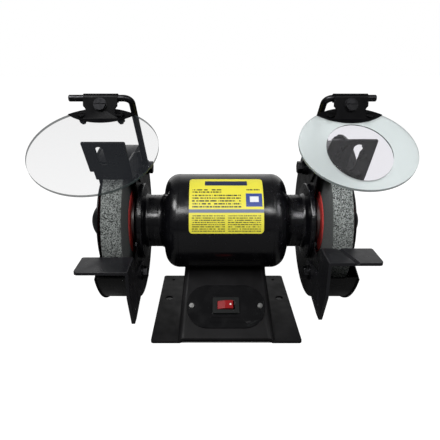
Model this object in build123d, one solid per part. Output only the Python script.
from build123d import *
import os
from math import asin, atan2, cos, degrees, hypot, radians, sin, sqrt

# Bench grinder, millimetres. +X runs along the spindle to the right wheel, +Y to the back,
# +Z up. The origin is the middle of the two bench bolt holes, on the bench.

# ---- driving dimensions ----
AXIS_H = 101.0          # spindle above the bench
MOTOR_R = 52.0          # outside of the motor shell
SHELL_HALF = 49.0       # half length of the rolled shell
SHELL_WALL = 2.0
BELL_FACE = 93.0        # |X| of the end bell's guard face
BELL_SHOULDER = 15.0    # rounding of the bell
NECK_R = 29.0
BELL_FLANGE_R = 42.0
WHEEL_R = 75.0
WHEEL_T = 20.0
WHEEL_SIDE_GAP = 7.5    # wheel to the guard's sheets
WHEEL_RIM_GAP = 7.5     # wheel to the guard's wall
ARBOR_R = 6.35
JOURNAL_R = 7.5
BEARING_R = 17.5
BEARING_W = 11.0
BEARING_X = 75.0        # |X| of the bearing's inner face
BALL_R = 3.0
CORE_HALF = 22.0
ROTOR_R = 28.0
GUARD_SHEET = 1.5
GUARD_TOP_EDGE = 64.0   # opening edges, degrees above the forward horizontal
GUARD_LOW_EDGE = -23.0
DOME_R = 24.0
DOME_H = 17.5
BASE_W = 154.0
BASE_FRONT = -88.0
BASE_BACK = 58.0
BASE_SHEET = 2.4
BENCH_BOLT_GAP = 132.0
BENCH_HOLE_R = 4.5
PANEL_HEAD_Y = 20.0     # where the front panel meets the motor, ahead of the spindle
HUMP_HALF = 50.0        # half width of the hump at the bench
HUMP_LEAN = 5.0         # how far each side wall leans in at motor height
HUMP_LIP = 6.0          # vertical step at the hump's foot
HUMP_WALL = 1.8
SWITCH_PLATE_L = 82.0
SWITCH_PLATE_H = 48.5
SHEET_STEEL = 1.8       # spark guards and shield brackets
REST_SHEET = 3.0
REST_DEPTH = 33.0
REST_OUT = 140.0        # |X| of the rest's outer edge
REST_GAP = 4.0          # left rest to wheel; the right one is set closer
REST_TRAVEL = 8.0
REST_IN_TRAVEL = 1.5
ROD_R = 3.0
ROD_BEND = 7.0
ROD_END_LEFT = 143.5    # |X| of each rod's end
ROD_END_RIGHT = 133.2
SHIELD_R_LEFT = 55.0
SHIELD_R_RIGHT = 50.2
SHIELD_T = 2.5
SHIELD_X_LEFT = 114.4   # |X| of each shield's middle
SHIELD_X_RIGHT = 109.7
SHIELD_SLOPE = 29.3     # degrees down to the front
RIGHT_STEEPER = 2.7     # the right shield leans this much further
LENS_HALF_X = 27.5      # oval magnifier
LENS_HALF_S = 34.0
LENS_DOWN = 6.3         # its middle below the shield's middle, down the slope
LENS_RISE = 3.0
BOLT_R = 4.0            # clamp and rest bolts
REST_BOLT_R = 59.0      # rest bolt from the spindle
REST_BOLT_ANGLE = -51.2 # angles are from the forward horizontal, upward
SPARK_GAP = 3.6         # spark plate's lower edge to the wheel
SPARK_ANGLE = 51.5
SPARK_LEAN = 53.2       # slope of the spark plate
SPARK_LENGTH = 51.8
SPARK_TRAVEL = 2.5
SPARK_IN_TRAVEL = 1.5
ROCKER_TILT = 9.0       # rocker leans this far at rest
GLAND_BORE_R = 4.2

# ---- clearances ----
FIT = 0.05              # running and plain fits
SLIP = 0.3              # pieces that pass each other


def forward(radius, angle):
    """(y, z) from the spindle, at an angle above the forward horizontal."""
    return -radius * cos(radians(angle)), radius * sin(radians(angle))


# ---- worked-out places ----
SPINDLE = Axis((0, 0, AXIS_H), (1, 0, 0))
SPINDLE_PLANE = Plane(origin=(0, 0, AXIS_H), x_dir=(1, 0, 0), z_dir=(0, -1, 0))
GUARD_IN = BELL_FACE
WHEEL_IN = GUARD_IN + GUARD_SHEET + WHEEL_SIDE_GAP
WHEEL_OUT = WHEEL_IN + WHEEL_T
WHEEL_X = (WHEEL_IN + WHEEL_OUT) / 2
COVER_IN = WHEEL_OUT + WHEEL_SIDE_GAP
GUARD_OUT = COVER_IN + GUARD_SHEET
GUARD_R = WHEEL_R + WHEEL_RIM_GAP + GUARD_SHEET
BLOTTER_T = 1.0
BLOTTER_R = 36.0
FLANGE_T = 5.0
FLANGE_R = 25.0
FLANGE_IN = WHEEL_IN - BLOTTER_T - FLANGE_T
FLANGE_OUT = WHEEL_OUT + BLOTTER_T + FLANGE_T
NUT_T = 10.0
BUSH_R = 10.0
CLAMP_Y, CLAMP_Z = 17.0, 57.0      # shield clamp bolt from the spindle
REST_BOLT_Y, REST_BOLT_Z = forward(REST_BOLT_R, REST_BOLT_ANGLE)
EAR_IN = GUARD_IN - SHEET_STEEL
ARM_X = EAR_IN - 3.7               # middle of the shield rod's upright
EYE_T = 4.0
ROD_Y, ROD_Z = -57.0, 138.0        # level part of the rod from the spindle
SPARK_FOOT = forward(WHEEL_R + SPARK_GAP, SPARK_ANGLE)
SPARK_UP = forward(1.0, SPARK_LEAN)
PANEL_FOOT = (BASE_FRONT, HUMP_LIP)
PANEL_HEAD = (-PANEL_HEAD_Y, AXIS_H - sqrt(MOTOR_R ** 2 - PANEL_HEAD_Y ** 2))


def cylinder_x(radius, x0, x1, y=0.0, z=0.0):
    """Cylinder along X, placed from the spindle."""
    plane = Plane(origin=(x0, y, AXIS_H + z), x_dir=(0, 1, 0), z_dir=(1, 0, 0))
    return extrude(plane * Circle(radius), amount=x1 - x0)


def hexagon_x(radius, x0, x1, y=0.0, z=0.0):
    plane = Plane(origin=(x0, y, AXIS_H + z), x_dir=(0, 1, 0), z_dir=(1, 0, 0))
    return extrude(plane * RegularPolygon(radius, 6), amount=x1 - x0)


def outline(*corners):
    """Face from (x, y, corner radius) points; radius 0 stays sharp."""
    face = make_face(Polyline(*[(x, y) for x, y, _ in corners], close=True))
    for x, y, radius in corners:
        if radius > 0:
            face = fillet(face.vertices().sort_by_distance((x, y, 0))[0], radius)
    return face


def plate_x(face, x0, x1):
    """Sheet standing across X from a (Y, Z) face measured from the spindle."""
    plane = Plane(origin=(x0, 0, AXIS_H), x_dir=(0, 1, 0), z_dir=(1, 0, 0))
    return extrude(plane * face, amount=x1 - x0)


def turned(*corners):
    """Solid of revolution about the spindle from (x, radius, corner radius)."""
    return revolve(SPINDLE_PLANE * outline(*corners), axis=SPINDLE)


def around(radius, count, start=0.0):
    """(y, z) places on a circle about the spindle."""
    turns = [radians(start + 360.0 * i / count) for i in range(count)]
    return [(radius * cos(a), radius * sin(a)) for a in turns]


def solids(*shapes):
    return Compound(children=[solid for shape in shapes for solid in shape.solids()])


def save(name, shape):
    export_step(shape, "parts/" + name + ".step")


def save_pair(name, shape):
    save(name + "_right", shape)
    save(name + "_left", mirror(shape, about=Plane.YZ))


# ---- motor ----
BELL_BOLT_R = MOTOR_R - 6.5     # circle of the long bolts
BELL_HEAD_X = SHELL_HALF + 8    # |X| of the seats under their heads
BELL_HEAD_R = 3.4
GUARD_BOLT_CIRCLE = 34.0
GUARD_BOLT_R = 2.5


def motor_shell():
    shell = cylinder_x(MOTOR_R, -SHELL_HALF, SHELL_HALF)
    shell -= cylinder_x(MOTOR_R - SHELL_WALL, -SHELL_HALF, SHELL_HALF)
    for x in (-MOUNT_BOLT_X, MOUNT_BOLT_X):
        shell -= Pos(x, 0, AXIS_H - MOTOR_R) * Cylinder(MOUNT_BOLT_R + FIT, 4 * SHELL_WALL)
    return shell


def bell_bolt_places():
    return [forward(BELL_BOLT_R, angle) for angle in (57, 123, 237, 303)]


def end_bell():
    spigot = MOTOR_R - SHELL_WALL - FIT
    seat = BEARING_X - 1.0
    shoulder = SHELL_HALF + 1 + BELL_SHOULDER
    cavity_r, throat_r = MOTOR_R - 11, NECK_R - 5
    bell = turned(
        (SHELL_HALF - 4, spigot, 0), (SHELL_HALF, spigot, 0), (SHELL_HALF, MOTOR_R, 0.5),
        (shoulder, MOTOR_R, BELL_SHOULDER), (shoulder, NECK_R, 6.0), (BELL_FACE - 7, NECK_R, 4.0),
        (BELL_FACE - 5, BELL_FLANGE_R, 1.5), (BELL_FACE, BELL_FLANGE_R, 0.5),
        (BELL_FACE, JOURNAL_R + 4, 0), (BEARING_X + BEARING_W, JOURNAL_R + 4, 0),
        (BEARING_X + BEARING_W, BEARING_R, 0), (seat, BEARING_R, 0), (seat, throat_r, 0),
        (shoulder - 5, throat_r, 2.0), (SHELL_HALF + 4, cavity_r, 4.0),
        (SHELL_HALF - 4, cavity_r, 0))
    for y, z in bell_bolt_places():
        bell -= cylinder_x(2.2 + FIT, SHELL_HALF - 5, BELL_FACE, y, z)
        bell -= cylinder_x(BELL_HEAD_R + 0.4, BELL_HEAD_X, BELL_FACE - 8, y, z)
    for y, z in around(GUARD_BOLT_CIRCLE, 3, 90):
        bell -= cylinder_x(GUARD_BOLT_R + FIT, BELL_FACE - 6, BELL_FACE + 1, y, z)
    for x in (72.0, 76.5, 81.0):
        bell -= turned((x, NECK_R - 0.7, 0), (x + 0.9, NECK_R - 0.7, 0),
                       (x + 0.9, NECK_R + 1, 0), (x, NECK_R + 1, 0))
    return bell


def tie_bolts():
    pieces = []
    for y, z in bell_bolt_places():
        bolt = cylinder_x(2.2, -BELL_HEAD_X - 3, BELL_HEAD_X, y, z)
        head = cylinder_x(BELL_HEAD_R, BELL_HEAD_X, BELL_HEAD_X + 2.5, y, z)
        slot = Pos(BELL_HEAD_X + 2.5, y, AXIS_H + z) * Box(1.6, 2 * BELL_HEAD_R + 1, 0.9)
        nut = hexagon_x(BELL_HEAD_R, -BELL_HEAD_X - 2.5, -BELL_HEAD_X, y, z)
        nut -= cylinder_x(2.2, -BELL_HEAD_X - 4, -BELL_HEAD_X, y, z)
        pieces += [bolt + head - slot, nut]
    return solids(*pieces)


SLOT_COUNT = 12
SLOT_W, SLOT_DEPTH = 6.0, 12.0
BORE_R = ROTOR_R + 0.5


def stator_core():
    core = cylinder_x(MOTOR_R - SHELL_WALL - FIT, -CORE_HALF, CORE_HALF)
    core -= cylinder_x(BORE_R, -CORE_HALF, CORE_HALF)
    for i in range(SLOT_COUNT):
        slot = Pos(0, BORE_R + 1.5 + SLOT_DEPTH / 2, 0) * Box(2 * CORE_HALF, SLOT_DEPTH, SLOT_W)
        core -= Pos(0, 0, AXIS_H) * Rot(X=360.0 * i / SLOT_COUNT) * slot
    for y, z in bell_bolt_places():
        core -= cylinder_x(2.2 + SLIP, -CORE_HALF, CORE_HALF, y, z)
    return core


def stator_windings():
    """Coils through the slots, joined by the bundled end turns."""
    inner, outer = BORE_R + 2.5, BORE_R + SLOT_DEPTH
    coil = Part()
    for side in (-1, 1):
        near, far = side * (CORE_HALF + 0.5), side * (CORE_HALF + 15)
        coil += turned((near, inner, 2), (far, inner, 4), (far, outer, 4), (near, outer, 2))
    length = 2 * CORE_HALF + 4
    for i in range(SLOT_COUNT):
        bar = Pos(0, BORE_R + 1.5 + SLOT_DEPTH / 2, 0) * Box(length, SLOT_DEPTH - 2, SLOT_W - 1)
        coil += Pos(0, 0, AXIS_H) * Rot(X=360.0 * i / SLOT_COUNT) * bar
    return coil


LABEL_HALF = 38.0
LABEL_T = 0.3
LABEL_LOW, LABEL_HIGH = 5.0, 77.0   # degrees above the forward horizontal
LABEL_CORNER = 3.5


def name_plate():
    """Blank rating label rolled on the front of the shell."""
    skin = cylinder_x(MOTOR_R + LABEL_T, -LABEL_HALF, LABEL_HALF)
    skin -= cylinder_x(MOTOR_R, -LABEL_HALF, LABEL_HALF)
    middle = radians((LABEL_LOW + LABEL_HIGH) / 2)
    half = radians((LABEL_HIGH - LABEL_LOW) / 2)
    facing = Plane(origin=(0, 0, AXIS_H), x_dir=(1, 0, 0), z_dir=(0, -cos(middle), sin(middle)))
    face = RectangleRounded(2 * LABEL_HALF, 2 * MOTOR_R * sin(half), LABEL_CORNER)
    return skin & extrude(facing * face, amount=2 * MOTOR_R)


def sector(low, high, reach, x0, x1):
    """Wedge about the spindle between two angles above the forward horizontal."""
    steps = [low + (high - low) * i / 4 for i in range(5)]
    rim = [forward(reach, angle) for angle in steps]
    return plate_x(make_face(Polyline((0, 0), *rim, close=True)), x0, x1)


# ---- spindle ----
def shaft():
    step = BEARING_X - 1.0
    return turned(
        (-FLANGE_OUT - NUT_T - 1, 0, 0), (-FLANGE_OUT - NUT_T - 1, ARBOR_R, 0.8),
        (-FLANGE_IN, ARBOR_R, 0), (-FLANGE_IN, JOURNAL_R, 0), (-step, JOURNAL_R, 0),
        (-step, JOURNAL_R + 1.5, 0), (step, JOURNAL_R + 1.5, 0), (step, JOURNAL_R, 0),
        (FLANGE_IN, JOURNAL_R, 0), (FLANGE_IN, ARBOR_R, 0),
        (FLANGE_OUT + NUT_T + 1, ARBOR_R, 0.8), (FLANGE_OUT + NUT_T + 1, 0, 0))


def rotor_core():
    """Laminations with cast end rings and fan blades."""
    bore = JOURNAL_R + 1.5
    core = cylinder_x(ROTOR_R, -CORE_HALF, CORE_HALF)
    core += cylinder_x(ROTOR_R - 1.5, -CORE_HALF - 4, CORE_HALF + 4)
    core -= cylinder_x(ROTOR_R - 10, -CORE_HALF - 4, -CORE_HALF)
    core -= cylinder_x(ROTOR_R - 10, CORE_HALF, CORE_HALF + 4)
    for i in range(8):
        blade = Pos(0, ROTOR_R - 5, 0) * Box(2 * CORE_HALF + 18, 5, 2)
        core += Pos(0, 0, AXIS_H) * Rot(X=45.0 * i) * blade
    return core - cylinder_x(bore, -CORE_HALF - 10, CORE_HALF + 10)


BALL_PITCH = (JOURNAL_R + BEARING_R) / 2
BALL_GAP = 0.08


def race_groove():
    plane = Plane(origin=(BEARING_X + BEARING_W / 2, 0, AXIS_H), x_dir=(0, 1, 0), z_dir=(1, 0, 0))
    return plane * Torus(BALL_PITCH, BALL_R + BALL_GAP)


def bearing_outer():
    ring = cylinder_x(BEARING_R, BEARING_X, BEARING_X + BEARING_W)
    ring -= cylinder_x(BALL_PITCH + 1.9, BEARING_X, BEARING_X + BEARING_W)
    return ring - race_groove()


def bearing_inner():
    ring = cylinder_x(BALL_PITCH - 1.9, BEARING_X, BEARING_X + BEARING_W)
    ring -= cylinder_x(JOURNAL_R, BEARING_X, BEARING_X + BEARING_W)
    return ring - race_groove()


def bearing_balls():
    """Ball set held by its cage."""
    middle = BEARING_X + BEARING_W / 2
    cage = cylinder_x(BALL_PITCH + 0.6, middle - 2, middle + 2)
    cage -= cylinder_x(BALL_PITCH - 0.6, middle - 2, middle + 2)
    for y, z in around(BALL_PITCH, 8):
        cage += Pos(middle, y, AXIS_H + z) * Sphere(BALL_R)
    return cage


def wave_washer():
    """Spring washer behind the left bearing."""
    washer = cylinder_x(BEARING_R - 0.5, BEARING_X - 0.9, BEARING_X - 0.1)
    washer -= cylinder_x(BEARING_R - 4, BEARING_X - 1, BEARING_X)
    return mirror(washer, about=Plane.YZ)


def wheel():
    body = turned((WHEEL_IN, BUSH_R, 0), (WHEEL_IN, WHEEL_R, 1.0),
                  (WHEEL_OUT, WHEEL_R, 1.0), (WHEEL_OUT, BUSH_R, 0))
    return body


def wheel_bush():
    bush = cylinder_x(BUSH_R, WHEEL_IN, WHEEL_OUT)
    return bush - cylinder_x(ARBOR_R, WHEEL_IN, WHEEL_OUT)


def blotters():
    inner = cylinder_x(BLOTTER_R, WHEEL_IN - BLOTTER_T, WHEEL_IN)
    outer = cylinder_x(BLOTTER_R, WHEEL_OUT, WHEEL_OUT + BLOTTER_T)
    inner -= cylinder_x(ARBOR_R, WHEEL_IN - BLOTTER_T, WHEEL_IN)
    outer -= cylinder_x(ARBOR_R, WHEEL_OUT, WHEEL_OUT + BLOTTER_T)
    return solids(inner, outer)


def wheel_flange(face, away):
    """Dished clamping flange; face touches the blotter, away points off the wheel."""
    back = face + away * FLANGE_T
    return turned((face, ARBOR_R, 0), (face + away * 0.6, ARBOR_R + 6, 0),
                  (face + away * 0.6, FLANGE_R - 5, 0), (face, FLANGE_R - 5, 0),
                  (face, FLANGE_R, 0), (face + away * 2.5, FLANGE_R, 0),
                  (back, FLANGE_R - 9, 0), (back, ARBOR_R, 0))


def spindle_nut():
    nut = hexagon_x(11.0, FLANGE_OUT, FLANGE_OUT + NUT_T)
    return nut - cylinder_x(ARBOR_R, FLANGE_OUT, FLANGE_OUT + NUT_T)


# ---- wheel guards ----
HUB_R = 36.0            # guard sheet left round the spindle
COVER_HUB_R = 54.0      # cover left round the dome
COVER_LIP = 1.5         # cover's edge beyond the guard's wall
LUG_CIRCLE = GUARD_R - 7
LUG_ANGLES = (100.0, 200.0, 305.0)
COVER_SCREW_R = 2.5


def lug_places():
    """(y, z) of the cover screws."""
    return [forward(LUG_CIRCLE, angle) for angle in LUG_ANGLES]


def guard_mouth(hub):
    """Open quarter in front of the wheel, clear of the hub."""
    wedge = sector(GUARD_LOW_EDGE, GUARD_TOP_EDGE, 2 * GUARD_R, GUARD_IN - 1, GUARD_OUT + 1)
    return wedge - cylinder_x(hub, GUARD_IN - 2, GUARD_OUT + 2)


def guard():
    drum = cylinder_x(GUARD_R, GUARD_IN, COVER_IN)
    drum -= cylinder_x(GUARD_R - GUARD_SHEET, GUARD_IN + GUARD_SHEET, COVER_IN)
    drum -= cylinder_x(JOURNAL_R + 5, GUARD_IN, GUARD_IN + GUARD_SHEET)
    drum -= guard_mouth(HUB_R)
    for angle, (y, z) in zip(LUG_ANGLES, lug_places()):
        lug = Pos(COVER_IN - 1.5, 0, AXIS_H) * Rot(X=-angle)
        lug *= Pos(0, -GUARD_R + 7.2, 0) * Box(3.0, 13.0, 14.0)
        drum += lug
        drum -= cylinder_x(COVER_SCREW_R + FIT, COVER_IN - 4, COVER_IN, y, z)
    for y, z in around(GUARD_BOLT_CIRCLE, 3, 90):
        drum -= cylinder_x(GUARD_BOLT_R + FIT, GUARD_IN, GUARD_IN + GUARD_SHEET, y, z)
    for y, z in ((REST_BOLT_Y, REST_BOLT_Z), (CLAMP_Y, CLAMP_Z)):
        drum -= cylinder_x(BOLT_R + FIT, GUARD_IN, GUARD_IN + GUARD_SHEET, y, z)
    return drum


def cap_arc(radius, height):
    """Arc of a ball cap standing on the cover's face, from its rim to its tip."""
    ball = (radius ** 2 + height ** 2) / (2 * height)
    middle = GUARD_OUT + height - ball
    half = asin(radius / ball) / 2
    return ThreePointArc((GUARD_OUT, radius), (middle + ball * cos(half), ball * sin(half)),
                         (GUARD_OUT + height, 0))


def guard_cover():
    """Outer cover with a pressed dome over the spindle nut."""
    inner_r, inner_h = DOME_R - GUARD_SHEET, DOME_H - GUARD_SHEET
    rim_r = GUARD_R + COVER_LIP
    rim = Polyline((GUARD_OUT, inner_r), (COVER_IN, inner_r), (COVER_IN, rim_r),
                   (GUARD_OUT, rim_r), (GUARD_OUT, DOME_R))
    tip = Line((GUARD_OUT + inner_h, 0), (GUARD_OUT + DOME_H, 0))
    section = make_face(rim + cap_arc(DOME_R, DOME_H) + tip + cap_arc(inner_r, inner_h))
    cover = revolve(SPINDLE_PLANE * section, axis=SPINDLE) - guard_mouth(COVER_HUB_R)
    for y, z in lug_places():
        cover -= cylinder_x(COVER_SCREW_R + FIT, COVER_IN, GUARD_OUT, y, z)
    return cover


def pan_screw(radius, head_r, head_t, face, tip, y, z):
    """Screw along X with its head outside |X| = face and its tip inside."""
    screw = cylinder_x(radius, tip, face, y, z) + cylinder_x(head_r, face, face + head_t, y, z)
    slot = Pos(face + head_t, y, AXIS_H + z) * Box(1.6, 2 * head_r + 1, 0.9)
    return screw - slot


def guard_cover_screws():
    screws = [pan_screw(COVER_SCREW_R, 4.8, 3.0, GUARD_OUT, COVER_IN - 6, y, z)
              for y, z in lug_places()]
    return solids(*screws, *[mirror(screw, about=Plane.YZ) for screw in screws])


def guard_bolts():
    face = GUARD_IN + GUARD_SHEET
    bolts = [cylinder_x(GUARD_BOLT_R, face - 6, face, y, z)
             + hexagon_x(4.6, face, face + 2.6, y, z)
             for y, z in around(GUARD_BOLT_CIRCLE, 3, 90)]
    return solids(*bolts, *[mirror(bolt, about=Plane.YZ) for bolt in bolts])


def through_bolt(y, z, under_head, washer_face, nut_face):
    """Bolt from the motor side: head, shank, washer and nut as separate solids."""
    bolt = hexagon_x(BOLT_R + 3.2, under_head - 5, under_head, y, z)
    bolt += cylinder_x(BOLT_R, under_head, nut_face + 6, y, z)
    washer = cylinder_x(BOLT_R + 4.5, washer_face[0], washer_face[1], y, z)
    washer -= cylinder_x(BOLT_R, washer_face[0], washer_face[1], y, z)
    nut = hexagon_x(BOLT_R + 3.2, nut_face, nut_face + 4.5, y, z)
    nut -= cylinder_x(BOLT_R, nut_face, nut_face + 4.5, y, z)
    return solids(bolt, washer, nut)


def shield_clamp_bolt():
    inner = GUARD_IN + GUARD_SHEET
    return through_bolt(CLAMP_Y, CLAMP_Z, ARM_X - EYE_T / 2, (ARM_X + EYE_T / 2, EAR_IN), inner)


def rest_bolt():
    inner = GUARD_IN + GUARD_SHEET
    head = GUARD_IN - REST_SHEET - 1.2
    return through_bolt(REST_BOLT_Y, REST_BOLT_Z, head, (head, head + 1.2), inner)


# ---- spark guards ----
def spark_guard():
    """Bent plate over the wheel with a scalloped ear against the guard's motor side."""
    uy, uz = SPARK_UP
    length = SPARK_LENGTH
    out = GUARD_OUT - 0.5
    slope = Plane(origin=(0, SPARK_FOOT[0], AXIS_H + SPARK_FOOT[1]), x_dir=(1, 0, 0),
                  z_dir=(0, -uz, uy))
    width = out - EAR_IN
    middle = (out + EAR_IN) / 2
    plate = outline((EAR_IN, 0, 0), (out - 3.4, 0, 1), (out - 3.4, 12, 0), (out, 12, 1),
                    (out, length, 1.5), (EAR_IN, length, 1.5))
    plate -= Pos(middle + 0.12 * width, length - 18) * Rot(Z=90) * SlotOverall(25, 6.5)
    blade = extrude(slope * plate, amount=SHEET_STEEL)
    ear = outline((SPARK_FOOT[0], SPARK_FOOT[1], 0),
                  (SPARK_FOOT[0] + 26 * uy, SPARK_FOOT[1] + 26 * uz, 0),
                  (-34, 84, 8), (10, 77, 5), (44, 70, 5), (45, 48, 4), (34, 43, 4),
                  (22, 46, 3), (10, 42, 4), (-6, 46, 5), (-22, 60, 6))
    slot = Pos(CLAMP_Y, CLAMP_Z) * Rot(Z=180 - SPARK_LEAN)
    slot *= Pos((SPARK_IN_TRAVEL - SPARK_TRAVEL) / 2, 0)
    slot *= SlotOverall(SPARK_TRAVEL + SPARK_IN_TRAVEL + 2 * BOLT_R + 2 * SLIP,
                        2 * BOLT_R + 2 * SLIP)
    return blade + plate_x(ear - slot, EAR_IN, GUARD_IN)


# ---- eye shields ----
def shield_arm(rod_end):
    """Bent rod with a flat eye round the clamp bolt."""
    path = FilletPolyline((ARM_X, CLAMP_Y, AXIS_H + CLAMP_Z), (ARM_X, ROD_Y, AXIS_H + ROD_Z),
                          (rod_end, ROD_Y, AXIS_H + ROD_Z), radius=ROD_BEND)
    rod = sweep(Plane(origin=path @ 0, z_dir=path % 0) * Circle(ROD_R), path=path)
    rod = rod.fillet(1.0, rod.edges().filter_by(GeomType.CIRCLE).sort_by(Axis.X)[-1:])
    near, far = ARM_X - EYE_T / 2, ARM_X + EYE_T / 2
    gap = cylinder_x(BOLT_R + 6, near - 3, near, CLAMP_Y, CLAMP_Z)
    gap += cylinder_x(BOLT_R + 6, far, far + 3, CLAMP_Y, CLAMP_Z)
    arm = rod + cylinder_x(BOLT_R + 4, near, far, CLAMP_Y, CLAMP_Z) - gap
    return arm - cylinder_x(BOLT_R + FIT, near - 1, far + 1, CLAMP_Y, CLAMP_Z)


BRACKET_HALF = 15.4
BRACKET_DROP = 10.0     # rod's middle above the shield's seat on the bracket
LEAF = 1.0
SCREW_X, SCREW_S = 17.2, 12.0
SCREW_R = 2.0
EYE_PLANE = Plane(origin=(0, ROD_Y, AXIS_H + ROD_Z), x_dir=(1, 0, 0),
                  z_dir=(0, -sin(radians(SHIELD_SLOPE)), cos(radians(SHIELD_SLOPE))))
SIDE_PLANE = Plane(origin=(0, ROD_Y, AXIS_H + ROD_Z), x_dir=(0, -cos(radians(SHIELD_SLOPE)),
                   -sin(radians(SHIELD_SLOPE))), z_dir=(1, 0, 0))
TOP_GAP = 0.5           # shield's upper edge below the rod's middle, down the slope
PINCH_SHARE = 0.34      # pinch screw's place down the strap
STRAP_TOP = (3.1, 3.1)
STRAP_FOOT = (16.5, -BRACKET_DROP)


def level(height):
    """Plane parallel to the shield at this height above the rod's middle; its Y runs down."""
    return EYE_PLANE.offset(height)


def down(s):
    """Local Y of a place s down the slope from the rod."""
    return -s


def shield_bracket(radius):
    """Sheet strap round the rod, folded down to a crescent foot on the shield."""
    tube = extrude(SIDE_PLANE * Circle(ROD_R + FIT + LEAF), amount=BRACKET_HALF, both=True)
    (s0, h0), (s1, h1) = STRAP_TOP, STRAP_FOOT
    length = hypot(s1 - s0, h1 - h0)
    across = (LEAF * (h0 - h1) / length, LEAF * (s1 - s0) / length)
    strap = make_face(Polyline((s0 - across[0], -h0 + across[1]), (s0, -h0), (s1, -h1),
                               (s1 - 2 * across[0], -h1), close=True))
    strap = extrude(SIDE_PLANE * strap, amount=BRACKET_HALF, both=True)
    for x in (-SCREW_X, SCREW_X):
        notch = level(-BRACKET_DROP) * Pos(x, down(SCREW_S)) * Circle(4.3)
        strap -= extrude(notch, amount=BRACKET_DROP + 3)
    disc = Pos(0, down(TOP_GAP + radius)) * Circle(radius - 0.3)
    arc = Pos(0, down(TOP_GAP - 25)) * Circle(46.0)
    foot = extrude(level(-BRACKET_DROP - LEAF) * (disc & arc), amount=LEAF)
    bracket = tube + strap + foot
    bracket -= extrude(SIDE_PLANE * Circle(ROD_R + FIT), amount=BRACKET_HALF + 1, both=True)
    for x in (-SCREW_X, SCREW_X):
        hole = level(-BRACKET_DROP - LEAF) * Pos(x, down(SCREW_S)) * Circle(SCREW_R + FIT)
        bracket -= extrude(hole, amount=LEAF)
    return bracket - pinch_screw_hole()


def pinch_plane():
    """Plane on the middle of the strap's upper face."""
    (s0, h0), (s1, h1) = STRAP_TOP, STRAP_FOOT
    slope = radians(SHIELD_SLOPE)
    s, h = s0 + PINCH_SHARE * (s1 - s0), h0 + PINCH_SHARE * (h1 - h0)
    y = -s * cos(slope) - h * sin(slope)
    z = -s * sin(slope) + h * cos(slope)
    ns, nh = h0 - h1, s1 - s0
    normal = (0, -ns * cos(slope) - nh * sin(slope), -ns * sin(slope) + nh * cos(slope))
    origin = (0, ROD_Y + y, AXIS_H + ROD_Z + z)
    return Plane(origin=origin, x_dir=(1, 0, 0), z_dir=normal)


def pinch_screw_hole():
    return extrude(pinch_plane() * Circle(SCREW_R + FIT), amount=-2.5 * LEAF, both=True)


def pinch_screw():
    face = pinch_plane()
    washer = extrude(face * Circle(6.0), amount=0.8) - extrude(face * Circle(SCREW_R), amount=0.8)
    head = extrude(face.offset(0.8) * Circle(5.2), amount=2.4)
    head -= extrude(face.offset(2.4) * Rectangle(11, 1), amount=2)
    shank = extrude(face.offset(0.8) * Circle(SCREW_R), amount=-5.0)
    return solids(head + shank, washer)


def seat_screw(x):
    """Screw and nut that hold the shield under the bracket's foot."""
    top = level(-BRACKET_DROP) * Pos(x, down(SCREW_S))
    under = level(-BRACKET_DROP - LEAF - SHIELD_T) * Pos(x, down(SCREW_S))
    screw = extrude(top * Circle(3.8), amount=2.2)
    screw -= extrude(level(-BRACKET_DROP + 1.4) * Pos(x, down(SCREW_S)) * Rectangle(8, 0.9), amount=2)
    screw += extrude(top * Circle(SCREW_R), amount=-LEAF - SHIELD_T - 5)
    nut = extrude(under * RegularPolygon(3.6, 6), amount=-3)
    nut -= extrude(under * Circle(SCREW_R), amount=-3)
    return [screw, nut]


def shield_screws():
    return solids(*seat_screw(-SCREW_X), *seat_screw(SCREW_X), pinch_screw())


def shield(radius):
    face = Pos(0, down(TOP_GAP + radius)) * Circle(radius)
    for x in (-SCREW_X, SCREW_X):
        face -= Pos(x, down(SCREW_S)) * Circle(SCREW_R + FIT)
    return extrude(level(-BRACKET_DROP - LEAF - SHIELD_T) * face, amount=SHIELD_T)


def lens_outline():
    """Oval opening of the ring, on the shield's underside."""
    under = level(-BRACKET_DROP - LEAF - SHIELD_T)
    return under * Pos(0, down(TOP_GAP + SHIELD_R_RIGHT + LENS_DOWN)) * Ellipse(LENS_HALF_X, LENS_HALF_S)


def shield_frame():
    """Frosted ring that carries the magnifier."""
    return shield(SHIELD_R_RIGHT) - extrude(lens_outline(), amount=SHIELD_T)


def magnifier():
    """Flat-backed lens with a domed face."""
    ball = (LENS_HALF_S ** 2 + LENS_RISE ** 2) / (2 * LENS_RISE)
    top = SHIELD_T + LENS_RISE
    middle = level(-BRACKET_DROP - LEAF - SHIELD_T)
    middle *= Pos(0, down(TOP_GAP + SHIELD_R_RIGHT + LENS_DOWN), top - ball)
    return extrude(lens_outline(), amount=top) & (middle * Sphere(ball))


def hung_right(shape):
    """Places a shield piece on the right rod, tilted to the right shield's rest pose."""
    rod = Axis((0, ROD_Y, AXIS_H + ROD_Z), (1, 0, 0))
    return Pos(SHIELD_X_RIGHT, 0, 0) * shape.rotate(rod, RIGHT_STEEPER)


def hung_left(shape):
    return Pos(-SHIELD_X_LEFT, 0, 0) * shape


# ---- tool rests ----
REST_NOSE_LEFT = -73.5  # leg's lowest point from the spindle
REST_NOSE_RIGHT = -70.0


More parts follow.
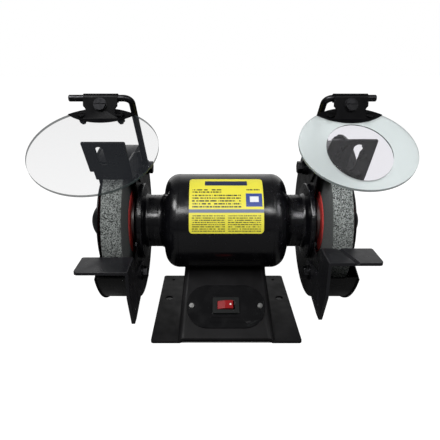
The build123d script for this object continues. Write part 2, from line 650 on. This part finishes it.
def tool_rest(top, nose, gap, groove):
    """Table with its inner side bent down into a slotted leg."""
    back = -WHEEL_R - gap
    front = back - REST_DEPTH
    inner = GUARD_IN - REST_SHEET
    table = outline((inner, back, 0), (REST_OUT, back, 2), (REST_OUT, front, 4), (inner, front, 0))
    table = extrude(Pos(0, 0, AXIS_H + top - REST_SHEET) * table, amount=REST_SHEET)
    if groove:
        middle = Pos(WHEEL_X, (back + front) / 2, AXIS_H + top)
        table -= middle * Rot(Z=14) * Rot(Y=45) * Box(3.2, 2 * REST_DEPTH, 3.2)
    nose_y, nose_z = front + 18, nose
    tail = REST_BOLT_Y + REST_TRAVEL + BOLT_R + SLIP + 4
    edge = BOLT_R + SLIP + 4
    leg = outline((back, top, 0), (front, top, 0), (front, -36, 6), (nose_y - 3, nose_z, 5),
                  (nose_y + 9, nose_z, 5), (tail, REST_BOLT_Z - edge - 4, 6),
                  (tail, REST_BOLT_Z + edge, 8), (back + 6, -32, 6), (back, -26, 3))
    run = REST_TRAVEL + REST_IN_TRAVEL
    slot = Pos(REST_BOLT_Y + (REST_TRAVEL - REST_IN_TRAVEL) / 2, REST_BOLT_Z)
    slot *= SlotOverall(run + 2 * BOLT_R + 2 * SLIP, 2 * BOLT_R + 2 * SLIP)
    slot += Pos(nose_y + 8, nose_z + 20) * Rot(Z=75) * SlotOverall(20, 6)
    rest = table + plate_x(leg - slot, inner, GUARD_IN)
    bend = rest.edges().filter_by(Axis.Y).group_by(Axis.Z)[-1].sort_by(Axis.X)[0]
    return rest.fillet(2.0, [bend])


# ---- base ----
MOUNT_BOLT_X = 30.0
MOUNT_BOLT_R = 3.0
COVER_T = 1.2
ARCH_HALF, ARCH_H = 43.0, 3.6   # relief under the hump's front edge
REAR_Y, REAR_Z = 50.0, 34.0
GLAND_Z = 17.0
GLAND_R = 7.5


def hump(inset):
    """Outer form of the hump, or its inside when inset by the wall."""
    lean = (PANEL_HEAD[1] - PANEL_FOOT[1], PANEL_HEAD[0] - PANEL_FOOT[0])
    shift = inset * hypot(*lean) / lean[1]
    face = make_face(Polyline(
        (BASE_FRONT + inset, 0), (BASE_FRONT + inset, HUMP_LIP + inset * lean[0] / lean[1] - shift),
        (PANEL_HEAD[0], PANEL_HEAD[1] - shift), (PANEL_HEAD[0], PANEL_HEAD[1] + 10),
        (26, PANEL_HEAD[1] + 10), (26, PANEL_HEAD[1] - shift), (REAR_Y - inset, REAR_Z - shift),
        (REAR_Y - inset, 0), close=True))
    plane = Plane(origin=(0, 0, 0), x_dir=(0, 1, 0), z_dir=(1, 0, 0))
    block = extrude(plane * face, amount=HUMP_HALF, both=True)
    lean_angle = degrees(atan2(HUMP_LEAN, AXIS_H - MOTOR_R))
    for side in (-1, 1):
        cutter = Pos(side * (HUMP_HALF - inset + 50), 0, 0) * Box(100, 400, 400)
        block -= Pos(side * (HUMP_HALF - inset), 0, 0) * Rot(Y=-side * lean_angle) * Pos(
            -side * (HUMP_HALF - inset), 0, 0) * cutter
    if inset == 0:
        long_edges = [e for e in block.edges() if abs((e % 0.5).Z) > 0.2 and e.length > 60]
        block = block.fillet(7.0, long_edges)
    saddle = cylinder_x(MOTOR_R + FIT + inset, -2 * HUMP_HALF, 2 * HUMP_HALF)
    return block - saddle


def base():
    width, depth = BASE_W, BASE_BACK - BASE_FRONT
    plate = Pos(0, (BASE_FRONT + BASE_BACK) / 2) * RectangleRounded(width, depth, 3)
    body = extrude(plate, amount=BASE_SHEET) + hump(0)
    body -= hump(HUMP_WALL) & Pos(0, 0, 200 + BASE_SHEET) * Box(400, 400, 400)
    body -= extrude(cover_outline(-7), amount=BASE_SHEET)
    body -= extrude(cover_outline(SLIP), amount=COVER_T)
    for x in (-BENCH_BOLT_GAP / 2, BENCH_BOLT_GAP / 2):
        body -= Pos(x, 0, BASE_SHEET / 2) * Cylinder(BENCH_HOLE_R, BASE_SHEET)
        body -= Pos(x * 0.97, 46, BASE_SHEET / 2) * Cylinder(2.0, BASE_SHEET)
    arch = outline((-ARCH_HALF - 4, -1, 0), (-ARCH_HALF - 4, 0, 0), (-ARCH_HALF, ARCH_H, 0),
                   (ARCH_HALF, ARCH_H, 0), (ARCH_HALF + 4, 0, 0), (ARCH_HALF + 4, -1, 0))
    body -= extrude(Plane(origin=(0, BASE_FRONT, 0), x_dir=(1, 0, 0), z_dir=(0, -1, 0)) * arch,
                    amount=3.2, both=True)
    for x, y in cover_screw_places():
        body -= Pos(x, y, BASE_SHEET / 2) * Cylinder(1.5 + FIT, BASE_SHEET)
    for x in (-MOUNT_BOLT_X, MOUNT_BOLT_X):
        body -= Pos(x, 0, AXIS_H - MOTOR_R) * Cylinder(MOUNT_BOLT_R + FIT, 4 * HUMP_WALL)
    body -= Pos(0, REAR_Y, GLAND_Z) * Rot(X=90) * Cylinder(GLAND_R, 4 * HUMP_WALL)
    panel = panel_plane()
    body -= extrude(panel * Rectangle(20.4, 13.4), amount=4 * HUMP_WALL, both=True)
    for x in (-PLATE_SCREW_X, PLATE_SCREW_X):
        body -= extrude(panel * Pos(x, 0) * Circle(1.6), amount=2 * HUMP_WALL, both=True)
    return body


def cover_outline(grow):
    """Bottom cover's outline in the base plate, grown all round."""
    half = HUMP_HALF - HUMP_WALL - 3
    front, back = BASE_FRONT + 5, REAR_Y - 5
    middle = Pos(0, (front + back) / 2)
    return middle * RectangleRounded(2 * (half + grow), back - front + 2 * grow, 4)


def cover_screw_places():
    half = HUMP_HALF - HUMP_WALL - 6.5
    return [(x, y) for x in (-half, half) for y in (BASE_FRONT + 8.5, REAR_Y - 8.5)]


def bottom_cover():
    cover = extrude(cover_outline(0), amount=COVER_T)
    for x, y in cover_screw_places():
        cover -= Pos(x, y, COVER_T / 2) * Cylinder(1.5 + FIT, COVER_T)
        cover -= Pos(x, y, 0.35) * Cylinder(3.0, 0.7)
    return cover


def bottom_cover_screws():
    screws = []
    for x, y in cover_screw_places():
        head = Pos(x, y, 0.35) * Cylinder(2.9, 0.7)
        screws.append(head + Pos(x, y, 2.8) * Cylinder(1.5, 4.2))
    return solids(*screws)


def motor_mount_bolts():
    pieces = []
    belly = AXIS_H - MOTOR_R
    for x in (-MOUNT_BOLT_X, MOUNT_BOLT_X):
        top = belly - HUMP_WALL - 0.1
        bolt = Pos(x, 0, top - 2) * extrude(RegularPolygon(5, 6), amount=2, both=True)
        bolt += Pos(x, 0, top + 4) * Cylinder(MOUNT_BOLT_R, 9)
        nut = Pos(x, 0, belly + SHELL_WALL + 2.1) * extrude(RegularPolygon(5, 6), amount=1.8, both=True)
        nut -= Pos(x, 0, belly + SHELL_WALL + 2) * Cylinder(MOUNT_BOLT_R, 9)
        pieces += [bolt, nut]
    return solids(*pieces)


# ---- switch ----
PLATE_SCREW_X = 36.0
PLATE_T = 1.6
PLATE_RIBS = ((-16.5, 14.5, -12.5), (-18.5, 20.0, -17.5))   # pressed lines under the rocker
RIB_W, RIB_H = 1.2, 0.5
SWITCH_T = 2.4
PANEL_SHARE = 0.42      # how far up the panel the plate's middle sits


def panel_plane():
    """Plane on the sloping front panel; its Y runs up the slope."""
    dy, dz = PANEL_HEAD[0] - PANEL_FOOT[0], PANEL_HEAD[1] - PANEL_FOOT[1]
    origin = (0, PANEL_FOOT[0] + PANEL_SHARE * dy, PANEL_FOOT[1] + PANEL_SHARE * dz)
    return Plane(origin=origin, x_dir=(1, 0, 0), z_dir=(0, -dz, dy))


def switch_plate():
    face = RectangleRounded(SWITCH_PLATE_L, SWITCH_PLATE_H, SWITCH_PLATE_H / 2 - 2)
    face -= Rectangle(20.4, 13.4)
    for x in (-PLATE_SCREW_X, PLATE_SCREW_X):
        face -= Pos(x, 0) * Circle(1.6)
    plate = extrude(panel_plane() * face, amount=PLATE_T)
    for left, right, y in PLATE_RIBS:
        rib = Pos((left + right) / 2, y) * SlotOverall(right - left, RIB_W)
        plate += extrude(panel_plane().offset(PLATE_T) * rib, amount=RIB_H)
    return plate


def switch_plate_screws():
    panel = panel_plane()
    screws = []
    for x in (-PLATE_SCREW_X, PLATE_SCREW_X):
        head = extrude(panel.offset(PLATE_T) * Pos(x, 0) * Circle(2.6), amount=1.6)
        head -= extrude(panel.offset(PLATE_T + 0.9) * Pos(x, 0) * Rectangle(6, 0.8), amount=1)
        screws.append(head + extrude(panel.offset(PLATE_T) * Pos(x, 0) * Circle(1.5), amount=-8))
    return solids(*screws)


ROCKER_L, ROCKER_W = 18.0, 9.0
ROCKER_AXIS_DEPTH = 1.0     # rocker pin below the plate's face
ROCKER_PIN_R = 0.9


def rocker_side():
    """Plane across the rocker, its origin on the pin's axis."""
    panel = panel_plane()
    origin = panel.origin + panel.z_dir * (PLATE_T - ROCKER_AXIS_DEPTH)
    return Plane(origin=origin, x_dir=panel.x_dir, z_dir=-panel.y_dir)


def switch_body():
    panel = panel_plane()
    bezel = extrude(panel.offset(PLATE_T) * RectangleRounded(28, 18, 1.5), amount=SWITCH_T)
    can = extrude(panel.offset(PLATE_T) * Rectangle(20, 13), amount=-18)
    body = bezel + can
    well = panel.offset(PLATE_T + SWITCH_T) * Rectangle(ROCKER_L + 2 * SLIP, ROCKER_W + 2 * SLIP)
    body -= extrude(well, amount=-SWITCH_T - 8)
    body -= extrude(rocker_side() * Circle(ROCKER_PIN_R + FIT), amount=ROCKER_W / 2 + 1.4, both=True)
    for x in (-6, 6):
        body += extrude(panel.offset(PLATE_T - 18) * Pos(x, 0) * Rectangle(4, 0.8), amount=-7)
    return body


def rocker():
    """Two-faced rocker on its cross pin, leaning to its off side."""
    side = rocker_side()
    pin = extrude(side * Circle(ROCKER_PIN_R), amount=ROCKER_W / 2 + 1.2, both=True)
    face = make_face(Polyline((-8.2, 1.5), (-8.2, 4.6), (0, 5.6), (8.2, 4.6), (8.2, 1.5),
                              (0, -3.5), close=True))
    face = Rot(Z=ROCKER_TILT) * face
    return pin + extrude(side * face, amount=ROCKER_W / 2, both=True)


# ---- electrics in the base ----
CAP_R, CAP_HALF = 13.0, 28.0
CAP_Y, CAP_Z = 26.0, 20.0
CLIP_X, CLIP_W, CLIP_T = -18.0, 12.0, 1.2


def tube_x(radius, x0, x1, y, z):
    return cylinder_x(radius, x0, x1, y, z - AXIS_H)


def capacitor():
    body = tube_x(CAP_R, -CAP_HALF, CAP_HALF, CAP_Y, CAP_Z)
    for y in (-5, 5):
        body += Pos(CAP_HALF + 3, CAP_Y + y, CAP_Z) * Box(6, 1, 5)
    return body


def capacitor_clip():
    """Strap over the capacitor with a foot on the rear wall, beside the gland."""
    x0, x1 = CLIP_X - CLIP_W / 2, CLIP_X + CLIP_W / 2
    wall = REAR_Y - HUMP_WALL
    strap = tube_x(CAP_R + CLIP_T, x0, x1, CAP_Y, CAP_Z)
    strap -= Pos(CLIP_X, CAP_Y, CAP_Z - CAP_R) * Box(CLIP_W, CAP_R, CAP_R)
    arm_z = CAP_Z + 9
    strap += Pos(CLIP_X, (CAP_Y + wall) / 2, arm_z) * Box(CLIP_W, wall - CAP_Y, CLIP_T)
    strap += Pos(CLIP_X, wall - CLIP_T / 2, arm_z - 4) * Box(CLIP_W, CLIP_T, 9)
    return strap - tube_x(CAP_R, x0, x1, CAP_Y, CAP_Z)


def cord_gland():
    """Rubber bush in the rear wall for the supply cord."""
    flange_in = REAR_Y - HUMP_WALL
    gland = gland_ring(GLAND_R - FIT, flange_in - 4, REAR_Y + 6)
    gland += gland_ring(GLAND_R + 3, REAR_Y, REAR_Y + 3)
    gland += gland_ring(GLAND_R + 2, flange_in - 3, flange_in)
    return gland - gland_ring(GLAND_BORE_R, flange_in - 5, REAR_Y + 7)


def gland_ring(radius, y0, y1):
    plane = Plane(origin=(0, y0, GLAND_Z), x_dir=(1, 0, 0), z_dir=(0, 1, 0))
    return extrude(plane * Circle(radius), amount=y1 - y0)


def main():
    os.makedirs("parts", exist_ok=True)
    save("base", base())
    save("bottom_cover", bottom_cover())
    save("bottom_cover_screws", bottom_cover_screws())
    save("motor_mount_bolts", motor_mount_bolts())
    save("switch_plate", switch_plate())
    save("switch_plate_screws", switch_plate_screws())
    save("switch_body", switch_body())
    save("rocker", rocker())
    save("capacitor", capacitor())
    save("capacitor_clip", capacitor_clip())
    save("cord_gland", cord_gland())

    save("motor_shell", motor_shell())
    save_pair("end_bell", end_bell())
    save("tie_bolts", tie_bolts())
    save("stator_core", stator_core())
    save("stator_windings", stator_windings())
    save("name_plate", name_plate())

    save("shaft", shaft())
    save("rotor_core", rotor_core())
    save_pair("bearing_outer", bearing_outer())
    save_pair("bearing_inner", bearing_inner())
    save_pair("bearing_balls", bearing_balls())
    save("wave_washer", wave_washer())

    save_pair("wheel", wheel())
    save("wheel_bushes", solids(wheel_bush(), mirror(wheel_bush(), about=Plane.YZ)))
    save_pair("blotters", blotters())
    save_pair("inner_flange", wheel_flange(WHEEL_IN - BLOTTER_T, -1))
    save_pair("outer_flange", wheel_flange(WHEEL_OUT + BLOTTER_T, 1))
    save_pair("spindle_nut", spindle_nut())

    save_pair("guard", guard())
    save_pair("guard_cover", guard_cover())
    save("guard_cover_screws", guard_cover_screws())
    save("guard_bolts", guard_bolts())
    clamps = shield_clamp_bolt()
    save("shield_clamp_bolts", solids(clamps, mirror(clamps, about=Plane.YZ)))
    rests = rest_bolt()
    save("rest_bolts", solids(rests, mirror(rests, about=Plane.YZ)))
    save_pair("spark_guard", spark_guard())
    save("shield_arm_right", shield_arm(ROD_END_RIGHT))
    save("shield_arm_left", mirror(shield_arm(ROD_END_LEFT), about=Plane.YZ))
    save("tool_rest_right", tool_rest(-0.5, REST_NOSE_RIGHT, REST_GAP - 2, True))
    left_rest = tool_rest(-9.0, REST_NOSE_LEFT, REST_GAP, False)
    save("tool_rest_left", mirror(left_rest, about=Plane.YZ))

    save("shield_bracket_right", hung_right(shield_bracket(SHIELD_R_RIGHT)))
    save("shield_bracket_left", hung_left(shield_bracket(SHIELD_R_LEFT)))
    save("shield_screws_right", hung_right(shield_screws()))
    save("shield_screws_left", hung_left(shield_screws()))
    save("shield_frame_right", hung_right(shield_frame()))
    save("magnifier_right", hung_right(magnifier()))
    save("shield_left", hung_left(shield(SHIELD_R_LEFT)))


main()
